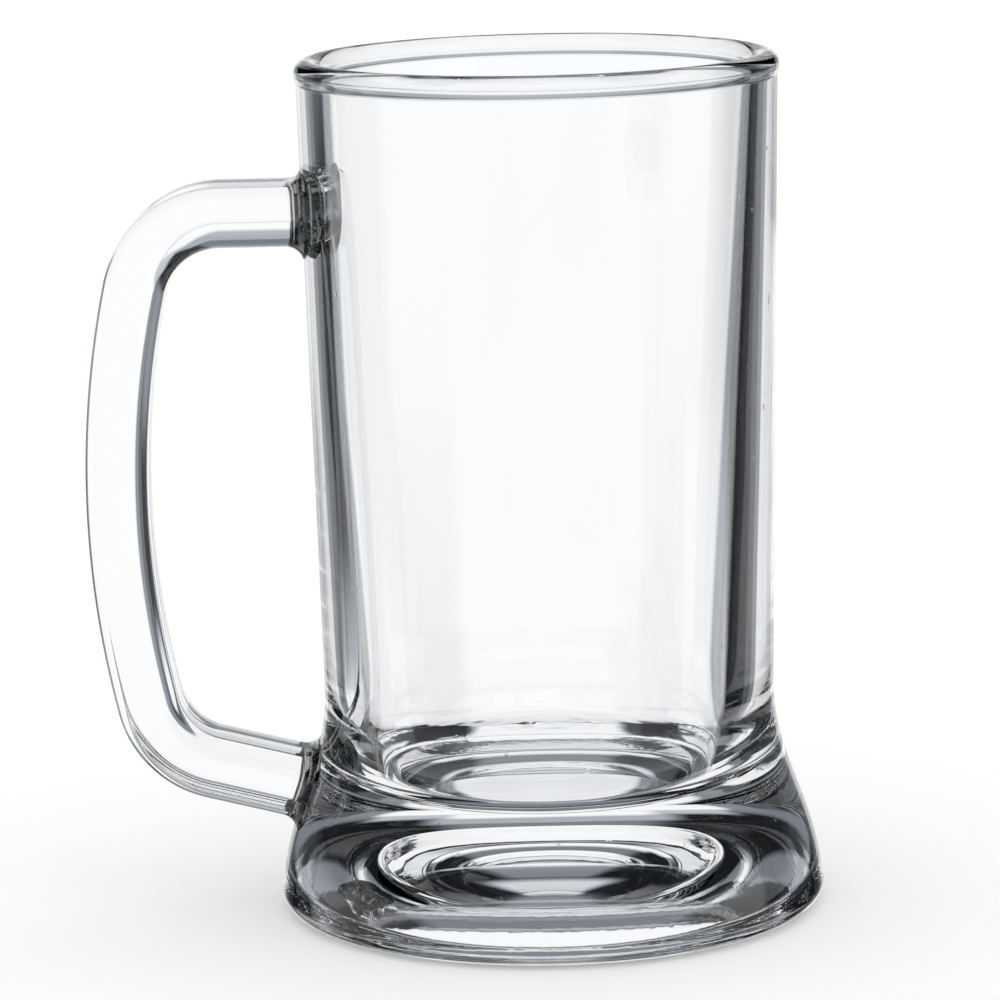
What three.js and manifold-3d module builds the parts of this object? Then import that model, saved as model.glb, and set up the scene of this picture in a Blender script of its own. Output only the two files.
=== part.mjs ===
// Glass tankard: a heavy pressed body and a solid bar handle, welded to it hot at both ends.
// Millimetres, +Z up. The table is z = 0, and the handle points to -X.
import * as THREE from 'three';
import { mergeVertices } from 'three/addons/utils/BufferGeometryUtils.js';
import Module from 'manifold-3d';

// Body, from the table up
const height = 150;
const footDiameter = 96.3;
const heelRadius = 3.2;
const bearingWidth = 12; // flat ring that stands on the table
const puntHeight = 12; // domed hollow under the foot, at the axis
const puntCrown = 28; // the dome's crown is drawn out this far from the axis
const flareLean = THREE.MathUtils.degToRad(7.6); // lean of the foot's side just above the heel
const flarePull = 16; // how far the foot's side follows that lean
const waistDiameter = 79.3;
const waistHeight = 40; // the foot's flare runs into the barrel here
const waistPull = 15; // how far the flare follows the barrel's line
const barrelTopDiameter = 83.3;
const rimDiameter = 84;
const beadDiameter = 5; // fire-polished round rim

// Inside of the body
const neckWall = 4.5; // wall just under the rim bead
const waistWall = 7.7; // wall at the waist: the plunger's draft makes it thicker there
const floorHeight = 21.4; // solid glass under the drink, at the floor's edge
const floorDish = 1.8; // the floor's middle lies this much lower
const floorCorner = 5.5;

// Handle
const gripReach = 74.6; // barrel axis to the middle of the grip
const gripLift = 1.85; // the grip bows out the most this far above the middle between its arms
const gripBow = 165; // radius of the grip's bow
const bendRadius = 15.3;
const upperArmDrop = 26.7; // rim to the middle of the upper arm
const lowerArmHeight = 22; // middle of the lower arm where it meets the body
const lowerArmSlope = THREE.MathUtils.degToRad(14.2); // falls towards the foot
const barThickness = 10.7;
const barBreadth = 17.6;
const outerCorner = 1.8; // crisp edges on the outside of the loop
const innerCorner = 3.2; // rounder where the fingers go
const weldFillet = 3.2;
const weldGap = 0.3; // weld line between handle and body

// Facets
const turnSides = 64;
const curveSteps = 7;
const barSteps = 72;
const barCornerSteps = 5;

const footRadius = footDiameter / 2;
const waistRadius = waistDiameter / 2;
const barrelTopRadius = barrelTopDiameter / 2;
const beadRadius = beadDiameter / 2;
const beadRing = rimDiameter / 2 - beadRadius;
const beadHeight = height - beadRadius;
const neckInside = barrelTopRadius - neckWall;
const upperArmHeight = height - upperArmDrop;
const gripHeight = (upperArmHeight + lowerArmHeight) / 2 + gripLift;
const wasm = await Module();
wasm.setup();

// Side of the body from the heel to the crease under the rim bead
function addSide(path) {
  const heelMiddle = footRadius - heelRadius;
  path.absarc(heelMiddle, heelRadius, heelRadius, -Math.PI / 2, flareLean, false);
  const start = path.currentPoint.clone();
  const draft = (barrelTopRadius - waistRadius) / (beadHeight - waistHeight);
  path.bezierCurveTo(
    start.x - flarePull * Math.sin(flareLean),
    start.y + flarePull * Math.cos(flareLean),
    waistRadius - waistPull * draft,
    waistHeight - waistPull,
    waistRadius,
    waistHeight,
  );
  const crease = Math.acos((barrelTopRadius - beadRing) / beadRadius);
  path.lineTo(barrelTopRadius, beadHeight - beadRadius * Math.sin(crease));
  return crease;
}

function bodyProfile() {
  const path = new THREE.Path();
  const puntRadius = footRadius - heelRadius - bearingWidth;
  path.moveTo(0, puntHeight);
  path.quadraticCurveTo(puntCrown, puntHeight, puntRadius, 0);
  path.lineTo(footRadius - heelRadius, 0);
  const outerCrease = addSide(path);

  // Round rim, from the outer crease over the top to the inner one
  const innerCrease = Math.acos((beadRing - neckInside) / beadRadius);
  path.absarc(beadRing, beadHeight, beadRadius, -outerCrease, Math.PI + innerCrease, false);

  // Plain drafted inside wall, round corner and slightly dished floor
  const top = path.currentPoint.clone();
  const waistInside = waistRadius - waistWall;
  const draft = Math.atan((top.x - waistInside) / (top.y - waistHeight));
  const cornerMiddleHeight = floorHeight + floorCorner;
  const wallAtCorner = waistInside - (waistHeight - cornerMiddleHeight) * Math.tan(draft);
  const cornerMiddle = wallAtCorner - floorCorner / Math.cos(draft);
  path.absarc(cornerMiddle, cornerMiddleHeight, floorCorner, -draft, -Math.PI / 2, true);
  path.quadraticCurveTo(cornerMiddle / 2, floorHeight - floorDish, 0, floorHeight - floorDish);
  return path.getPoints(curveSteps);
}

// A closed mesh with shared vertices and no collapsed triangles
function closed(geometry) {
  const bare = geometry.clone();
  bare.deleteAttribute('normal');
  bare.deleteAttribute('uv');
  const merged = mergeVertices(bare, 1e-4);
  const corners = merged.index.array;
  const kept = [];
  for (let i = 0; i < corners.length; i += 3) {
    const [a, b, c] = corners.slice(i, i + 3);
    if (a !== b && b !== c && c !== a) {
      kept.push(a, b, c);
    }
  }
  merged.setIndex(kept);
  return merged;
}

function revolve(points) {
  const geometry = new THREE.LatheGeometry(points, turnSides);
  geometry.rotateX(Math.PI / 2);
  return closed(geometry);
}

function solid(geometry) {
  const mesh = new wasm.Mesh({
    numProp: 3,
    vertProperties: new Float32Array(geometry.attributes.position.array),
    triVerts: new Uint32Array(geometry.index.array),
  });
  return new wasm.Manifold(mesh);
}

function fromSolid(body) {
  const mesh = body.getMesh();
  const geometry = new THREE.BufferGeometry();
  geometry.setAttribute('position', new THREE.BufferAttribute(mesh.vertProperties, 3));
  geometry.setIndex(new THREE.BufferAttribute(mesh.triVerts, 1));
  geometry.computeVertexNormals();
  return geometry;
}

// Outline of the body's side alone, used to seat the handle on it
const sidePath = new THREE.Path();
sidePath.moveTo(footRadius - heelRadius, 0);
addSide(sidePath);
const side = sidePath.getPoints(curveSteps);

function sideRadius(z) {
  const above = side.findIndex((point) => point.y > z);
  const upper = side[above];
  const lower = side[above - 1];
  return THREE.MathUtils.mapLinear(z, lower.y, upper.y, lower.x, upper.x);
}

// Middle line of the bar in the handle's plane: x is the distance from the barrel's axis
function barPath() {
  const bowMiddle = new THREE.Vector2(gripReach - gripBow, gripHeight);
  const bendToBow = gripBow - bendRadius;
  const weldDepth = 2 * weldFillet; // the bar starts inside the body and is cut to fit it

  const upperBendHeight = upperArmHeight - bendRadius;
  const upperRise = upperBendHeight - bowMiddle.y;
  const upperBend = new THREE.Vector2(bowMiddle.x + Math.sqrt(bendToBow ** 2 - upperRise ** 2), upperBendHeight);

  const along = new THREE.Vector2(Math.cos(lowerArmSlope), Math.sin(lowerArmSlope));
  const across = new THREE.Vector2(-along.y, along.x);
  const seat = new THREE.Vector2(sideRadius(lowerArmHeight), lowerArmHeight);
  const fromBow = seat.clone().addScaledVector(across, bendRadius).sub(bowMiddle);
  const half = fromBow.dot(along);
  const run = Math.sqrt(half ** 2 - fromBow.lengthSq() + bendToBow ** 2) - half;
  const lowerBend = bowMiddle.clone().add(fromBow).addScaledVector(along, run);

  const upperTurn = upperBend.clone().sub(bowMiddle).angle();
  const lowerTurn = lowerBend.clone().sub(bowMiddle).angle();
  const path = new THREE.Path();
  path.moveTo(sideRadius(upperArmHeight) - weldDepth, upperArmHeight);
  path.lineTo(upperBend.x, upperArmHeight);
  path.absarc(upperBend.x, upperBend.y, bendRadius, Math.PI / 2, upperTurn, true);
  path.absarc(bowMiddle.x, bowMiddle.y, gripBow, upperTurn, lowerTurn, true);
  path.absarc(lowerBend.x, lowerBend.y, bendRadius, lowerTurn, lowerArmSlope - Math.PI / 2, true);
  path.lineTo(seat.x - weldDepth * along.x, seat.y - weldDepth * along.y);
  return path;
}

// Rounded rectangle: offsets across the bar in its plane and sideways, with outward directions
function barSection() {
  const section = [];
  for (let corner = 0; corner < 4; corner += 1) {
    const outside = corner === 0 || corner === 3;
    const inPlane = outside ? 1 : -1;
    const sideways = corner < 2 ? 1 : -1;
    const rounding = outside ? outerCorner : innerCorner;
    for (let step = 0; step <= barCornerSteps; step += 1) {
      const angle = (corner + step / barCornerSteps) * (Math.PI / 2);
      const out = new THREE.Vector2(Math.cos(angle), Math.sin(angle));
      const place = new THREE.Vector2(
        inPlane * (barThickness / 2 - rounding),
        sideways * (barBreadth / 2 - rounding),
      );
      section.push({ place: place.addScaledVector(out, rounding), out });
    }
  }
  return section;
}

// Growth of the bar near the body: a round fillet that follows the body's side
function filletGrowth(clearance) {
  const reach = weldFillet - THREE.MathUtils.clamp(clearance, weldGap / 2, weldFillet);
  return weldFillet - Math.sqrt(weldFillet ** 2 - reach ** 2);
}

function handleBlank() {
  const path = barPath();
  const section = barSection();
  const positions = [];
  const triangles = [];
  const sides = section.length;
  for (let ring = 0; ring <= barSteps; ring += 1) {
    const along = (1 - Math.cos((Math.PI * ring) / barSteps)) / 2; // closer rings at the welds
    const middle = path.getPointAt(along);
    const tangent = path.getTangentAt(along);
    const across = new THREE.Vector2(-tangent.y, tangent.x);
    for (const { place, out } of section) {
      const radius = middle.x + across.x * place.x;
      const z = middle.y + across.y * place.x;
      const clearance = Math.hypot(radius, place.y) - sideRadius(z);
      const grow = filletGrowth(clearance);
      positions.push(-(radius + across.x * out.x * grow), place.y + out.y * grow, z + across.y * out.x * grow);
    }
  }
  for (let ring = 0; ring < barSteps; ring += 1) {
    for (let i = 0; i < sides; i += 1) {
      const a = ring * sides + i;
      const b = ring * sides + ((i + 1) % sides);
      triangles.push(a, b, a + sides, b, b + sides, a + sides);
    }
  }
  const last = barSteps * sides;
  for (let i = 1; i < sides - 1; i += 1) {
    triangles.push(0, i + 1, i, last, last + i, last + i + 1);
  }
  const geometry = new THREE.BufferGeometry();
  geometry.setAttribute('position', new THREE.Float32BufferAttribute(positions, 3));
  geometry.setIndex(triangles);
  return closed(geometry);
}

// The body's outside, grown by the weld gap and closed at top and bottom
function weldCutter() {
  const points = [new THREE.Vector2(0, -weldGap)];
  for (const point of side) {
    points.push(new THREE.Vector2(point.x + weldGap, point.y));
  }
  points[1].y = -weldGap;
  points.push(new THREE.Vector2(0, side.at(-1).y));
  return solid(revolve(points));
}

function clearGlass() {
  return new THREE.MeshStandardMaterial({
    color: 0xdde6e3,
    roughness: 0.03,
    metalness: 0,
    transparent: true,
    opacity: 0.35,
  });
}

const body = new THREE.Mesh(revolve(bodyProfile()), clearGlass());
body.name = 'glass_body';
const handle = new THREE.Mesh(fromSolid(solid(handleBlank()).subtract(weldCutter())), clearGlass());
handle.name = 'glass_handle';

// The origin is the middle of the rectangle that the tankard covers on the table
const tankard = new THREE.Group();
tankard.add(body, handle);
tankard.position.x = (gripReach + barThickness / 2 - footRadius) / 2;

export default tankard;
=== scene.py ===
import math

import bmesh
import bpy
from mathutils import Matrix, Vector


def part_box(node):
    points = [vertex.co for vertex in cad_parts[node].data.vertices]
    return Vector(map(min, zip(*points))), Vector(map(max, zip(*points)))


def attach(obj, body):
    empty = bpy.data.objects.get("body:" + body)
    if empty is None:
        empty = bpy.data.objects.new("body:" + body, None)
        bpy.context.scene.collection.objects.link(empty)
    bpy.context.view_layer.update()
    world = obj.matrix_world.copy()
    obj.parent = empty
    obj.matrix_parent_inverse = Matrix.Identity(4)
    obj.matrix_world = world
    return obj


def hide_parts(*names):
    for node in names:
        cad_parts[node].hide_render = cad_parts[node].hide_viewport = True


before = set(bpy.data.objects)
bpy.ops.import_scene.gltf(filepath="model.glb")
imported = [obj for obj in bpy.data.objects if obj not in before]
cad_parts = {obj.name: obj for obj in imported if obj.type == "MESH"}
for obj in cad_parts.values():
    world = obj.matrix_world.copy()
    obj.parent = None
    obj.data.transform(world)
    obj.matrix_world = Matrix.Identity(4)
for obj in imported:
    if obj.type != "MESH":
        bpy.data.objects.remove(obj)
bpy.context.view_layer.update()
scene = bpy.context.scene
millimetre = 0.001
bodyLow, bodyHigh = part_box("glass_body")
axisX = (bodyLow.x + bodyHigh.x) / 2  # barrel axis in the shared frame
print("frame loaded, barrel axis at", round(axisX, 5))


def arcPoints(middleX, middleY, radius, start, end, steps):
    points = []
    for step in range(steps + 1):
        angle = start + (end - start) * step / steps
        points.append((middleX + radius * math.cos(angle), middleY + radius * math.sin(angle)))
    return points


def curvePoints(controls, steps):
    points = []
    for step in range(steps + 1):
        level = [Vector(point) for point in controls]
        while len(level) > 1:
            level = [near.lerp(far, step / steps) for near, far in zip(level, level[1:])]
        points.append(tuple(level[0]))
    return points


def linePoints(start, end, shares):
    return [tuple(Vector(start).lerp(Vector(end), share)) for share in shares]


def filletPoints(before, corner, after, reach, steps):
    first = Vector(corner) + (Vector(before) - Vector(corner)).normalized() * reach
    last = Vector(corner) + (Vector(after) - Vector(corner)).normalized() * reach
    return curvePoints([first, corner, last], steps)


def meshPiece(name, vertices, edges, faces):
    mesh = bpy.data.meshes.new(name)
    places = [[part * millimetre for part in vertex] for vertex in vertices]
    mesh.from_pydata(places, edges, faces)
    piece = bpy.data.objects.new(name, mesh)
    scene.collection.objects.link(piece)
    return piece


def markSharp(shape, sharpAngle):
    for edge in shape.edges:
        edge.smooth = edge.calc_face_angle(0) < math.radians(sharpAngle)


def smoothPiece(piece, sharpAngle):
    shape = bmesh.new()
    shape.from_mesh(piece.data)
    bmesh.ops.recalc_face_normals(shape, faces=shape.faces)
    for face in shape.faces:
        face.smooth = True
    markSharp(shape, sharpAngle)
    shape.to_mesh(piece.data)
    shape.free()
    return piece


def fillInputs(tree, node, values):
    for slot, value in enumerate(values):
        if isinstance(value, bpy.types.NodeSocket):
            tree.links.new(value, node.inputs[slot])
        elif value is not None:
            node.inputs[slot].default_value = value


def calculate(tree, operation, *values):
    node = tree.nodes.new("ShaderNodeMath")
    node.operation = operation
    fillInputs(tree, node, values)
    return node.outputs[0]


def vectorMath(tree, operation, *values):
    node = tree.nodes.new("ShaderNodeVectorMath")
    node.operation = operation
    fillInputs(tree, node, values)
    return node


def ramp(tree, value, low, high, atLow=0.0, atHigh=1.0):
    node = tree.nodes.new("ShaderNodeMapRange")
    node.interpolation_type = "SMOOTHSTEP"
    tree.links.new(value, node.inputs["Value"])
    limits = {"From Min": low, "From Max": high, "To Min": atLow, "To Max": atHigh}
    for name, limit in limits.items():
        node.inputs[name].default_value = limit
    return node.outputs[0]


# Clear glass: soft waves, stipple round the bearing ring, seeds, cold wrinkles at the floor's corner
glassSettings = {
    "tint": (0.985, 0.992, 1.0, 1),
    # painted shade: near-black tint that the weld attribute mixes into the glass round the welds,
    # standing in for the shade the glass shows there
    "paintedWeldShadeTint": (0.03, 0.034, 0.032, 1),
    "roughness": 0.0,
    "ior": 1.5,
    "bodyHeights": {"Waves": 0.00005, "Stipple": 0.000014, "Seeds": 0.000012, "Wrinkles": 0.00012},
    "handleHeights": {"Waves": 0.00003, "Stipple": 0.0, "Seeds": 0.000012, "Wrinkles": 0.0},
}
detailSettings = {  # scales per metre, places in metres, each pair from none to full
    "waveScale": 34,
    "footWaves": 2,  # extra waves in the foot
    "waveRise": (0.055, 0.02),
    "stippleScale": 950,
    "stippleRise": (0.0075, 0.0015),
    "seedScale": 620,
    "seedShare": (0.84, 0.92),
    "wrinkleScale": 320,
    "wrinkleStretch": (1, 1, 4),
    "wrinkleMiddle": (axisX, 0, 0.024),
    "wrinkleReach": (0.0345, 0.032),
    "wrinkleBottom": (0.0195, 0.0215),
    "wrinkleTop": (0.0285, 0.0225),
    "wrinkleBack": (-0.01, 0.02),
}


def makeDetail(name, marks):
    group = bpy.data.node_groups.new(name, "ShaderNodeTree")
    nodes, links = group.nodes, group.links
    group.interface.new_socket("Place", in_out="INPUT", socket_type="NodeSocketVector")
    for effect in ("Waves", "Stipple", "Seeds", "Wrinkles"):
        group.interface.new_socket(effect, in_out="INPUT", socket_type="NodeSocketFloat")
    group.interface.new_socket("Height", in_out="OUTPUT", socket_type="NodeSocketFloat")
    inside = nodes.new("NodeGroupInput")
    outside = nodes.new("NodeGroupOutput")
    place = inside.outputs["Place"]

    def multiply(first, second):
        return calculate(group, "MULTIPLY", first, second)

    def fade(value, limits):
        return ramp(group, value, *marks[limits])

    def noise(scale, stretch=(1, 1, 1)):
        node = nodes.new("ShaderNodeTexNoise")
        node.inputs["Scale"].default_value = scale
        node.inputs["Detail"].default_value = 0
        links.new(vectorMath(group, "MULTIPLY", place, stretch).outputs[0], node.inputs["Vector"])
        return node.outputs[0]

    parts = nodes.new("ShaderNodeSeparateXYZ")
    links.new(place, parts.inputs[0])
    lift = parts.outputs[2]
    foot = multiply(fade(lift, "waveRise"), marks["footWaves"])
    waves = multiply(noise(marks["waveScale"]), calculate(group, "ADD", foot, 1))
    waves = multiply(waves, inside.outputs["Waves"])
    stipple = multiply(noise(marks["stippleScale"]), fade(lift, "stippleRise"))
    stipple = multiply(stipple, inside.outputs["Stipple"])
    seeds = multiply(fade(noise(marks["seedScale"]), "seedShare"), inside.outputs["Seeds"])
    away = vectorMath(group, "DISTANCE", place, marks["wrinkleMiddle"]).outputs["Value"]
    corner = multiply(fade(lift, "wrinkleBottom"), fade(lift, "wrinkleTop"))
    corner = multiply(corner, fade(away, "wrinkleReach"))
    corner = multiply(corner, fade(parts.outputs[1], "wrinkleBack"))
    wrinkles = multiply(noise(marks["wrinkleScale"], marks["wrinkleStretch"]), corner)
    wrinkles = multiply(wrinkles, inside.outputs["Wrinkles"])
    height = calculate(group, "ADD", waves, stipple)
    height = calculate(group, "ADD", height, calculate(group, "ADD", seeds, wrinkles))
    links.new(height, outside.inputs["Height"])
    return group


detail = makeDetail("pressed_glass", detailSettings)


def makeGlass(name, look, heights):
    material = bpy.data.materials.new(name)
    material.use_nodes = True
    nodes, links = material.node_tree.nodes, material.node_tree.links
    shader = nodes["Principled BSDF"]
    shader.inputs["Roughness"].default_value = look["roughness"]
    shader.inputs["IOR"].default_value = look["ior"]
    shader.inputs["Transmission Weight"].default_value = 1.0
    coordinates = nodes.new("ShaderNodeTexCoord")
    surface = nodes.new("ShaderNodeGroup")
    surface.node_tree = detail
    for effect, height in heights.items():
        surface.inputs[effect].default_value = height
    links.new(coordinates.outputs["Object"], surface.inputs["Place"])
    bump = nodes.new("ShaderNodeBump")
    bump.inputs["Strength"].default_value = 1.0
    bump.inputs["Distance"].default_value = 1.0
    links.new(surface.outputs["Height"], bump.inputs["Height"])
    links.new(bump.outputs["Normal"], shader.inputs["Normal"])
    # painted shade: the weld attribute blends the glass tint towards the near-black painted shade tint
    # round the welds
    weldShadeMark = nodes.new("ShaderNodeAttribute")
    weldShadeMark.attribute_name = "weld"
    tint = nodes.new("ShaderNodeMix")
    tint.data_type = "RGBA"
    links.new(weldShadeMark.outputs["Fac"], tint.inputs[0])
    tint.inputs[6].default_value = look["tint"]  # its two colours are inputs 6 and 7
    tint.inputs[7].default_value = look["paintedWeldShadeTint"]
    links.new(tint.outputs[2], shader.inputs["Base Color"])
    return material


bodyGlass = makeGlass("tankard_body_glass", glassSettings, glassSettings["bodyHeights"])
handleGlass = makeGlass("tankard_handle_glass", glassSettings, glassSettings["handleHeights"])
print("glass made")


# Turned glass: a profile swept round the barrel axis, its inside moved and widened by two attributes
def makeTurning(name):
    tree = bpy.data.node_groups.new(name, "GeometryNodeTree")
    nodes, links = tree.nodes, tree.links
    inputs = {
        "Profile": "NodeSocketGeometry",
        "Sides": "NodeSocketInt",
        "Sweep Radius": "NodeSocketFloat",
        "Axis": "NodeSocketFloat",
        "Weld Distance": "NodeSocketFloat",
        "Glass": "NodeSocketMaterial",
    }
    for label, kind in inputs.items():
        tree.interface.new_socket(label, in_out="INPUT", socket_type=kind)
    tree.interface.new_socket("Mesh", in_out="OUTPUT", socket_type="NodeSocketGeometry")
    inside = nodes.new("NodeGroupInput")
    outside = nodes.new("NodeGroupOutput")

    def attribute(label):
        node = nodes.new("GeometryNodeInputNamedAttribute")
        node.data_type = "FLOAT"
        node.inputs["Name"].default_value = label
        return node.outputs[0]

    circle = nodes.new("GeometryNodeCurvePrimitiveCircle")
    links.new(inside.outputs["Sides"], circle.inputs["Resolution"])
    links.new(inside.outputs["Sweep Radius"], circle.inputs["Radius"])
    profile = nodes.new("GeometryNodeMeshToCurve")
    links.new(inside.outputs["Profile"], profile.inputs[0])
    sweep = nodes.new("GeometryNodeCurveToMesh")
    links.new(circle.outputs[0], sweep.inputs["Curve"])
    links.new(profile.outputs[0], sweep.inputs["Profile Curve"])
    place = nodes.new("GeometryNodeInputPosition")
    level = vectorMath(tree, "MULTIPLY", place.outputs[0], (1, 1, 0))
    outward = vectorMath(tree, "NORMALIZE", level.outputs[0])
    wider = vectorMath(tree, "SCALE", outward.outputs[0])
    links.new(attribute("spread"), wider.inputs["Scale"])
    along = nodes.new("ShaderNodeCombineXYZ")
    links.new(calculate(tree, "SUBTRACT", inside.outputs["Axis"], attribute("shift")), along.inputs[0])
    offset = vectorMath(tree, "ADD", wider.outputs[0], along.outputs[0])
    shape = nodes.new("GeometryNodeSetPosition")
    links.new(sweep.outputs[0], shape.inputs["Geometry"])
    links.new(offset.outputs[0], shape.inputs["Offset"])
    closed = nodes.new("GeometryNodeMergeByDistance")
    links.new(shape.outputs[0], closed.inputs["Geometry"])
    links.new(inside.outputs["Weld Distance"], closed.inputs["Distance"])
    plain = closed.outputs[0]
    for label in ("spread", "shift"):
        bare = nodes.new("GeometryNodeRemoveAttribute")
        bare.inputs["Name"].default_value = label
        links.new(plain, bare.inputs["Geometry"])
        plain = bare.outputs[0]
    solid = nodes.new("GeometryNodeRealizeInstances")
    links.new(plain, solid.inputs[0])
    glass = nodes.new("GeometryNodeSetMaterial")
    links.new(solid.outputs[0], glass.inputs["Geometry"])
    links.new(inside.outputs["Glass"], glass.inputs["Material"])
    links.new(glass.outputs[0], outside.inputs["Mesh"])
    return tree


turning = makeTurning("turned_glass")


def turnProfile(name, profile, shifts, cup, glass):
    sweepRadius = cup["rimRadius"]
    points = [(radius - sweepRadius, -height, 0) for radius, height in profile]  # outwards and down
    edges = [(index, index + 1) for index in range(len(points) - 1)]
    piece = meshPiece(name, points, edges, [])
    for label, column in (("shift", 0), ("spread", 1)):
        layer = piece.data.attributes.new(label, "FLOAT", "POINT")
        layer.data.foreach_set("value", [pair[column] * millimetre for pair in shifts])
    values = {
        "Sides": cup["sides"],
        "Sweep Radius": sweepRadius * millimetre,
        "Axis": axisX,
        "Weld Distance": cup["weldDistance"] * millimetre,
        "Glass": glass,
    }
    turned = piece.modifiers.new("turning", "NODES")
    turned.node_group = turning
    for socket in turning.interface.items_tree:
        if socket.name in values:
            turned[socket.identifier] = values[socket.name]
    shown = piece.evaluated_get(bpy.context.evaluated_depsgraph_get())
    piece.data = bpy.data.meshes.new_from_object(shown)
    piece.modifiers.clear()
    return smoothPiece(piece, cup["sharpAngle"])


# Body of pressed glass in the solid's sizes, with the cavity moved a little and small fillets
bodySettings = {  # millimetres
    "height": 150,
    "footRadius": 48.15,
    "heelRadius": 3.2,
    "bearingWidth": 12,
    "puntHeight": 12,
    "puntCrown": 28,
    "flareLean": math.radians(7.6),
    "flarePull": 16,
    "waistRadius": 39.65,
    "waistHeight": 40,
    "waistPull": 15,
    "barrelTopRadius": 41.65,
    "rimRadius": 42,
    "beadRadius": 2.5,
    "neckWall": 4.5,
    "waistWall": 7.7,
    "floorHeight": 21.4,
    "floorDish": 1.8,
    "floorCorner": 5.5,
    "cavityShift": 0.7,  # the plunger stood a little towards the handle
    "shiftStart": 1,
    "shiftDepth": 60,
    "shiftMiddle": 15,
    "puntFillet": 0.8,
    "outerFillet": 0.4,
    "innerFillet": 0.8,
    "puntSteps": 32,
    "heelSteps": 14,
    "flareSteps": 36,
    "beadSteps": 48,
    "cornerSteps": 18,
    "dishSteps": 14,
    "filletSteps": 8,
    "sides": 360,
    "weldDistance": 0.001,
    "sharpAngle": 50,
}
evenShares = [step / 16 for step in range(1, 16)]
endShares = [0.003, 0.006, 0.012, 0.03]  # close rings beside each crease
bearingShares = [0.02, 0.1] + evenShares + [0.98]


def sideProfile(cup):
    heel = cup["heelRadius"]
    heelMiddle = cup["footRadius"] - heel
    points = arcPoints(heelMiddle, heel, heel, -math.pi / 2, cup["flareLean"], cup["heelSteps"])
    start = points[-1]
    bead = cup["beadRadius"]
    beadHeight = cup["height"] - bead
    draft = (cup["barrelTopRadius"] - cup["waistRadius"]) / (beadHeight - cup["waistHeight"])
    leaning = (math.sin(cup["flareLean"]), math.cos(cup["flareLean"]))
    flare = [
        start,
        (start[0] - cup["flarePull"] * leaning[0], start[1] + cup["flarePull"] * leaning[1]),
        (cup["waistRadius"] - cup["waistPull"] * draft, cup["waistHeight"] - cup["waistPull"]),
        (cup["waistRadius"], cup["waistHeight"]),
    ]
    points += curvePoints(flare, cup["flareSteps"])[1:]
    crease = math.acos((cup["barrelTopRadius"] - cup["rimRadius"] + bead) / bead)
    top = (cup["barrelTopRadius"], beadHeight - bead * math.sin(crease))
    return points, top, crease


def bodyProfile(cup):
    heelMiddle = cup["footRadius"] - cup["heelRadius"]
    puntRadius = heelMiddle - cup["bearingWidth"]
    dome = [(0, cup["puntHeight"]), (cup["puntCrown"], cup["puntHeight"]), (puntRadius, 0)]
    points = curvePoints(dome, cup["puntSteps"])
    edge = filletPoints(points[-2], points[-1], (heelMiddle, 0), cup["puntFillet"], cup["filletSteps"])
    points = points[:-1] + edge
    points += linePoints(edge[-1], (heelMiddle, 0), bearingShares)
    side, creaseTop, outerCrease = sideProfile(cup)
    points += side
    beadHeight = cup["height"] - cup["beadRadius"]
    beadRing = cup["rimRadius"] - cup["beadRadius"]
    neckInside = cup["barrelTopRadius"] - cup["neckWall"]
    innerCrease = math.acos((beadRing - neckInside) / cup["beadRadius"])
    beadEnd = math.pi + innerCrease
    bead = arcPoints(beadRing, beadHeight, cup["beadRadius"], -outerCrease, beadEnd, cup["beadSteps"])
    outer = filletPoints(side[-1], creaseTop, bead[1], cup["outerFillet"], cup["filletSteps"])
    points += linePoints(side[-1], outer[0], evenShares + [1 - share for share in reversed(endShares)])
    points += outer
    waistInside = cup["waistRadius"] - cup["waistWall"]
    top = bead[-1]
    draft = math.atan((top[0] - waistInside) / (top[1] - cup["waistHeight"]))
    rounding = cup["floorCorner"]
    cornerHeight = cup["floorHeight"] + rounding
    wallAtCorner = waistInside - (cup["waistHeight"] - cornerHeight) * math.tan(draft)
    cornerMiddle = wallAtCorner - rounding / math.cos(draft)
    corner = arcPoints(cornerMiddle, cornerHeight, rounding, -draft, -math.pi / 2, cup["cornerSteps"])
    inner = filletPoints(bead[-2], top, corner[0], cup["innerFillet"], cup["filletSteps"])
    beadStep = (Vector(bead[1]) - Vector(bead[0])).length
    first = math.ceil(cup["outerFillet"] / beadStep) + 1  # bead points that the fillets leave
    last = math.ceil(cup["innerFillet"] / beadStep) + 1
    points += bead[first:-last]
    points += inner
    points += linePoints(inner[-1], corner[0], endShares + evenShares)
    points += corner
    dishLow = cup["floorHeight"] - cup["floorDish"]
    dish = [corner[-1], (cornerMiddle / 2, dishLow), (0, dishLow)]
    return points + curvePoints(dish, cup["dishSteps"])[1:]


def cavityShifts(profile, cup):
    top = max(range(len(profile)), key=lambda index: profile[index][1])
    shifts = []
    for index, (radius, height) in enumerate(profile):
        deep = (cup["height"] - height - cup["shiftStart"]) / cup["shiftDepth"] if index > top else 0
        shift = cup["cavityShift"] * min(max(deep, 0), 1)
        shifts.append((shift, shift * min(radius / cup["shiftMiddle"], 1)))
    return shifts


def makeBody(cup, glass):
    profile = bodyProfile(cup)
    return turnProfile("tankard_body", profile, cavityShifts(profile, cup), cup, glass)


body = makeBody(bodySettings, bodyGlass)
print("body made,", len(body.data.polygons), "faces")


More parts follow.
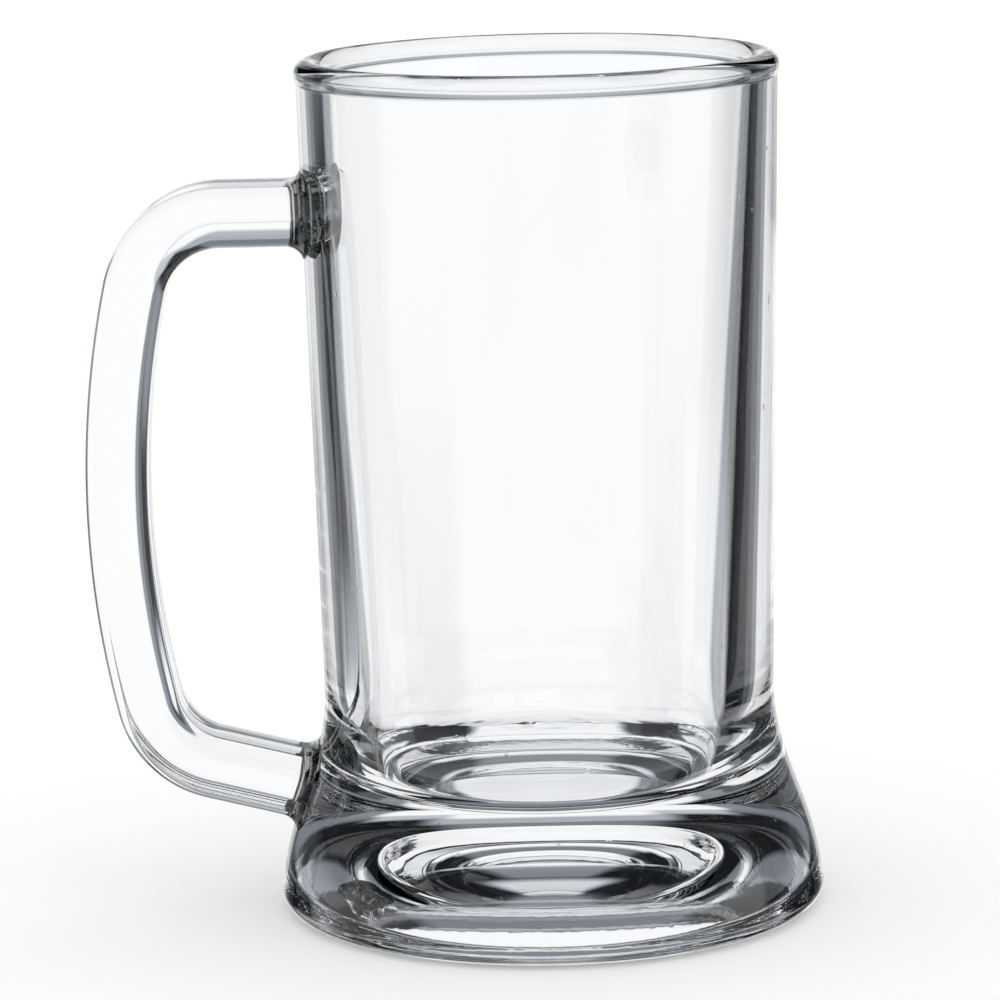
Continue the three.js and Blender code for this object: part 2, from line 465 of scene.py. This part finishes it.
# Bar handle, cut to the body's side at both welds
handleSettings = {  # millimetres
    "gripReach": 74.6,
    "gripHeight": 74.5,
    "gripBow": 165,
    "bendRadius": 15.3,
    "upperArmHeight": 123.3,
    "lowerArmHeight": 22,
    "lowerArmSlope": math.radians(14.2),
    "barThickness": 10.7,
    "barBreadth": 17.6,
    "innerCorner": 4.2,
    "outerCorner": 1.8,
    "weldFillet": 3.2,
    "weldBite": 0.06,  # how far the bar enters the body
    "cutterDrop": 1,
    "leastClearance": 0.15,  # ends the fillet's growth at the seat
    "shadeReach": 1.0,  # painted shade: a dark band round each weld
    "shadeFade": 0.9,
    "endFace": 0.02,  # faces nearer the body than this are the bar's ends
    "clearMiddle": 0.85,  # share of the upper end that stays free of painted shade
    "clearFade": 0.35,
    "clearAbove": 70,  # the end below this is painted dark all over
    "ringsBefore": 1.6,  # close rings from before the seat to after it
    "ringsAfter": 4.48,
    "rootSteps": 3,
    "weldSteps": 44,
    "armSteps": 16,
    "bendSteps": 44,
    "gripSteps": 64,
    "cornerSteps": 10,
    "flatSteps": 9,
    "sharpAngle": 40,
}
sideLine, sideTop = sideProfile(bodySettings)[:2]
sideLine = sideLine + [sideTop]


def sideRadius(height):
    for (lowRadius, low), (highRadius, high) in zip(sideLine, sideLine[1:]):
        if low <= height <= high:
            return lowRadius + (highRadius - lowRadius) * (height - low) / (high - low)
    return sideTop[0]


def armShares(length, bar):
    near = 2 * bar["weldFillet"] - bar["ringsBefore"]
    far = 2 * bar["weldFillet"] + bar["ringsAfter"]
    stretches = [(0, near, "rootSteps"), (near, far, "weldSteps"), (far, length, "armSteps")]
    places = []
    for start, end, steps in stretches:
        places += [start + (end - start) * step / bar[steps] for step in range(bar[steps])]
    return [place / length for place in places]


def barLine(bar):
    bend = bar["bendRadius"]
    bow = Vector((bar["gripReach"] - bar["gripBow"], bar["gripHeight"]))
    toBow = bar["gripBow"] - bend
    rise = bar["upperArmHeight"] - bend - bow.y
    upper = Vector((bow.x + math.sqrt(toBow**2 - rise**2), bar["upperArmHeight"] - bend))
    along = Vector((math.cos(bar["lowerArmSlope"]), math.sin(bar["lowerArmSlope"])))
    across = Vector((-along.y, along.x))
    seat = Vector((sideRadius(bar["lowerArmHeight"]), bar["lowerArmHeight"]))
    fromBow = seat + across * bend - bow
    half = fromBow.dot(along)
    run = math.sqrt(half**2 - fromBow.length_squared + toBow**2) - half
    lower = bow + fromBow + along * run
    upperTurn = math.atan2(upper.y - bow.y, upper.x - bow.x)
    lowerTurn = math.atan2(lower.y - bow.y, lower.x - bow.x)
    endTurn = bar["lowerArmSlope"] - math.pi / 2
    depth = 2 * bar["weldFillet"]
    start = (sideRadius(bar["upperArmHeight"]) - depth, bar["upperArmHeight"])
    points = linePoints(start, (upper.x, bar["upperArmHeight"]), armShares(upper.x - start[0], bar))
    points += arcPoints(upper.x, upper.y, bend, math.pi / 2, upperTurn, bar["bendSteps"])[:-1]
    points += arcPoints(bow.x, bow.y, bar["gripBow"], upperTurn, lowerTurn, bar["gripSteps"])[:-1]
    points += arcPoints(lower.x, lower.y, bend, lowerTurn, endTurn, bar["bendSteps"])[:-1]
    bendEnd = (lower.x + bend * math.cos(endTurn), lower.y + bend * math.sin(endTurn))
    seatEnd = (seat.x - depth * along.x, seat.y - depth * along.y)
    toBend = armShares((Vector(bendEnd) - Vector(seatEnd)).length, bar)
    return points + [bendEnd] + linePoints(seatEnd, bendEnd, toBend)[::-1]


def barSection(bar):
    section = []
    for corner in range(4):
        inPlane = 1 if corner in (0, 3) else -1
        sideways = 1 if corner < 2 else -1
        rounding = bar["outerCorner"] if inPlane > 0 else bar["innerCorner"]
        for step in range(bar["cornerSteps"] + 1):
            angle = (corner + step / bar["cornerSteps"]) * math.pi / 2
            out = (math.cos(angle), math.sin(angle))
            placeX = inPlane * (bar["barThickness"] / 2 - rounding) + rounding * out[0]
            placeY = sideways * (bar["barBreadth"] / 2 - rounding) + rounding * out[1]
            section.append((placeX, placeY, out[0], out[1]))
    spread = []
    for index, (first, second) in enumerate(zip(section, section[1:] + section[:1])):
        spread.append(first)
        if (index + 1) % (bar["cornerSteps"] + 1) == 0:  # flat between two corners
            for step in range(1, bar["flatSteps"]):
                share = step / bar["flatSteps"]
                spread.append(tuple(near + (far - near) * share for near, far in zip(first, second)))
    return spread


def makeHandle(bar):
    line = barLine(bar)
    section = barSection(bar)
    count = len(section)
    vertices, faces = [], []
    for index, (lineX, lineZ) in enumerate(line):
        before = Vector(line[max(index - 1, 0)])
        after = Vector(line[min(index + 1, len(line) - 1)])
        forward = (after - before).normalized()
        across = Vector((-forward.y, forward.x))
        for placeX, placeY, outX, outY in section:
            radius = lineX + across.x * placeX
            height = lineZ + across.y * placeX
            clearance = math.hypot(radius, placeY) - sideRadius(height)
            reach = bar["weldFillet"] - min(max(clearance, bar["leastClearance"]), bar["weldFillet"])
            grow = bar["weldFillet"] - math.sqrt(bar["weldFillet"] ** 2 - reach**2)
            vertices.append((
                axisX / millimetre - radius - across.x * outX * grow,
                placeY + outY * grow,
                height + across.y * outX * grow,
            ))
    for ring in range(len(line) - 1):
        for step in range(count):
            near = ring * count + step
            far = ring * count + (step + 1) % count
            faces.append((near, far, far + count, near + count))
    last = (len(line) - 1) * count
    faces.append(tuple(range(count - 1, -1, -1)))
    faces.append(tuple(range(last, last + count)))
    return smoothPiece(meshPiece("tankard_handle", vertices, [], faces), bar["sharpAngle"])


def cutToBody(piece, bar):
    wall = [(radius - bar["weldBite"], height) for radius, height in sideLine]
    below = -bar["cutterDrop"]  # the cutter starts below the foot
    outline = [(0, below), (wall[0][0], below)] + wall[1:] + [(0, sideTop[1])]
    cutter = turnProfile("weld_cutter", outline, [(0, 0)] * len(outline), bodySettings, None)
    trim = piece.modifiers.new("weld", "BOOLEAN")
    trim.operation = "DIFFERENCE"
    trim.solver = "EXACT"
    trim.object = cutter
    shown = piece.evaluated_get(bpy.context.evaluated_depsgraph_get())
    piece.data = bpy.data.meshes.new_from_object(shown)
    piece.modifiers.clear()
    bpy.data.objects.remove(cutter)


# painted shade: how dark each corner is painted, fading out away from the welds
def weldShadeShare(place, clearance, onEnd, bar):
    share = (bar["shadeReach"] - clearance) / bar["shadeFade"]
    if onEnd and place.z < bar["clearAbove"]:  # lower end face, painted shade all over
        share = 1
    elif onEnd:  # upper end face, painted shade round a clear middle
        sideways = 2 * place.y / bar["barBreadth"]
        upward = 2 * (place.z - bar["upperArmHeight"]) / bar["barThickness"]
        share = (math.hypot(sideways, upward) - bar["clearMiddle"]) / bar["clearFade"]
    share = min(max(share, 0), 1)
    return share * share * (3 - 2 * share)


# painted shade: stores the weld darkening per face corner in the weld attribute
def paintWeldShade(piece, bar):
    shape = bmesh.new()
    shape.from_mesh(piece.data)
    weldShadeMark = shape.loops.layers.float.new("weld")
    markSharp(shape, bar["sharpAngle"])
    for face in shape.faces:
        places = [corner.vert.co / millimetre for corner in face.loops]
        outward = [math.hypot(place.x - axisX / millimetre, place.y) for place in places]
        above = [radius - sideRadius(place.z) for radius, place in zip(outward, places)]
        onEnd = max(above) < bar["endFace"]
        for corner, place, clearance in zip(face.loops, places, above):
            corner[weldShadeMark] = weldShadeShare(place, clearance, onEnd, bar)
    shape.to_mesh(piece.data)
    shape.free()


handle = makeHandle(handleSettings)
cutToBody(handle, handleSettings)
paintWeldShade(handle, handleSettings)
handle.data.materials.clear()
handle.data.materials.append(handleGlass)
print("handle made,", len(handle.data.polygons), "faces")

for piece, node in ((body, "glass_body"), (handle, "glass_handle")):
    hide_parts(node)
    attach(piece, "root")
print("pieces placed")


# White sweep for the camera, and a studio of white panels for what the glass shows
studioSettings = {
    "base": 0.012,
    "darkTint": (0.78, 0.88, 1.0, 1),
    "panels": [  # azimuth, half width, lowest, highest and softness in degrees, then level
        (0, 23, -31, -1, 2, 1.0),
        (0, 23, -62, -28, 3, 1.0),
        (0, 29, -40, -1, 1.5, 0.3),
        (0, 36, -40, -1, 2, 0.12),
        (0, 13, -3, 7, 3, 1.0),
        (0, 14, 4, 14, 2, 0.5),
        (0, 22, -3, 5, 2, 0.6),
        (0, 12, 12, 40, 3, 0.24),
        (0, 24, 44, 72, 6, 0.85),
        (-76, 19, -36, 2, 2, 0.95),
        (-45, 11, -48, -17, 2, 1.0),
        (-90, 10, -10, 5, 3, 1.0),
        (76, 18, -34, -15, 2, 1.0),
        (0, 70, -7, 2, 2.5, 0.25),
        (135, 14, -35, 2, 4, 1.0),
        (180, 45, -50, -11, 5, 1.0),
        (180, 100, -14, 6, 3, 0.85),
        (0, 181, -91, -50, 8, 0.25),
        (0, 181, 72, 91, 6, 0.3),
    ],
}


def makeWorld(studio):
    world = bpy.data.worlds.new("studio")
    scene.world = world
    world.use_nodes = True
    tree = world.node_tree
    nodes, links = tree.nodes, tree.links
    nodes.clear()
    coordinates = nodes.new("ShaderNodeTexCoord")
    parts = nodes.new("ShaderNodeSeparateXYZ")
    links.new(coordinates.outputs["Generated"], parts.inputs[0])
    turn = calculate(tree, "DEGREES", calculate(tree, "ARCTAN2", parts.outputs[0], parts.outputs[1]))
    lift = calculate(tree, "DEGREES", calculate(tree, "ARCSINE", parts.outputs[2]))
    level = studio["base"]
    for azimuth, half, low, high, soft, bright in studio["panels"]:
        away = calculate(tree, "WRAP", calculate(tree, "SUBTRACT", turn, azimuth), 180, -180)
        away = calculate(tree, "ABSOLUTE", away)
        mask = ramp(tree, away, half - soft, half + soft, bright, 0) if half < 180 else bright
        mask = calculate(tree, "MULTIPLY", mask, ramp(tree, lift, low - soft, low + soft))
        mask = calculate(tree, "MULTIPLY", mask, ramp(tree, lift, high - soft, high + soft, 1, 0))
        level = calculate(tree, "MAXIMUM", level, mask)
    path = nodes.new("ShaderNodeLightPath")
    plain = calculate(tree, "MAXIMUM", path.outputs["Is Camera Ray"], path.outputs["Diffuse Depth"])
    level = calculate(tree, "MINIMUM", calculate(tree, "MAXIMUM", level, plain), 1)
    shade = nodes.new("ShaderNodeMix")
    shade.data_type = "RGBA"
    links.new(level, shade.inputs[0])
    shade.inputs[6].default_value = studio["darkTint"]
    shade.inputs[7].default_value = (1, 1, 1, 1)
    background = nodes.new("ShaderNodeBackground")
    links.new(shade.outputs[2], background.inputs["Color"])
    links.new(level, background.inputs["Strength"])
    output = nodes.new("ShaderNodeOutputWorld")
    links.new(background.outputs[0], output.inputs[0])


makeWorld(studioSettings)


floorSettings = {  # metres
    "half": 4.0,
    "drop": 0.0003,
    "white": (1, 1, 1, 1),
    "glow": 0.06,
}


def makeFloor(sweep):
    half = sweep["half"]
    corners = [(-half, -half, 0), (half, -half, 0), (half, half, 0), (-half, half, 0)]
    mesh = bpy.data.meshes.new("floor")
    mesh.from_pydata(corners, [], [(0, 1, 2, 3)])
    floor = bpy.data.objects.new("floor", mesh)
    scene.collection.objects.link(floor)
    floor.location.z = -sweep["drop"]
    material = bpy.data.materials.new("floor_white")
    material.use_nodes = True
    shader = material.node_tree.nodes["Principled BSDF"]
    shader.inputs["Base Color"].default_value = sweep["white"]
    shader.inputs["Roughness"].default_value = 1.0
    shader.inputs["Specular IOR Level"].default_value = 0.0
    shader.inputs["Emission Color"].default_value = sweep["white"]
    shader.inputs["Emission Strength"].default_value = sweep["glow"]
    mesh.materials.append(material)
    floor.visible_transmission = False
    floor.visible_glossy = False


makeFloor(floorSettings)
print("studio made")


# Camera
cameraSettings = {
    "lens": 175.27,
    "sensor": 36,
    "place": (axisX, -0.8403, 0.2275),
    "yaw": math.radians(-0.541),
    "pitch": math.radians(10.5),
    "roll": math.radians(-1.304),
}


def makeCamera(view):
    yaw, pitch, roll = view["yaw"], view["pitch"], view["roll"]
    ahead = math.cos(pitch)
    forward = Vector((math.sin(yaw) * ahead, math.cos(yaw) * ahead, -math.sin(pitch)))
    level = Vector((math.cos(yaw), -math.sin(yaw), 0))
    upright = level.cross(forward)
    right = math.cos(roll) * level + math.sin(roll) * upright
    up = -math.sin(roll) * level + math.cos(roll) * upright
    lens = bpy.data.cameras.new("camera")
    lens.sensor_width = view["sensor"]
    lens.lens = view["lens"]
    camera = bpy.data.objects.new("camera", lens)
    scene.collection.objects.link(camera)
    turn = Matrix((right, up, -forward)).transposed().to_4x4()
    turn.translation = Vector(view["place"])
    camera.matrix_world = turn
    scene.camera = camera


makeCamera(cameraSettings)
scene.view_settings.view_transform = "Standard"
scene.cycles.max_bounces = 28
scene.cycles.transmission_bounces = 28
scene.cycles.glossy_bounces = 16
scene.cycles.transparent_max_bounces = 16
print("camera made")
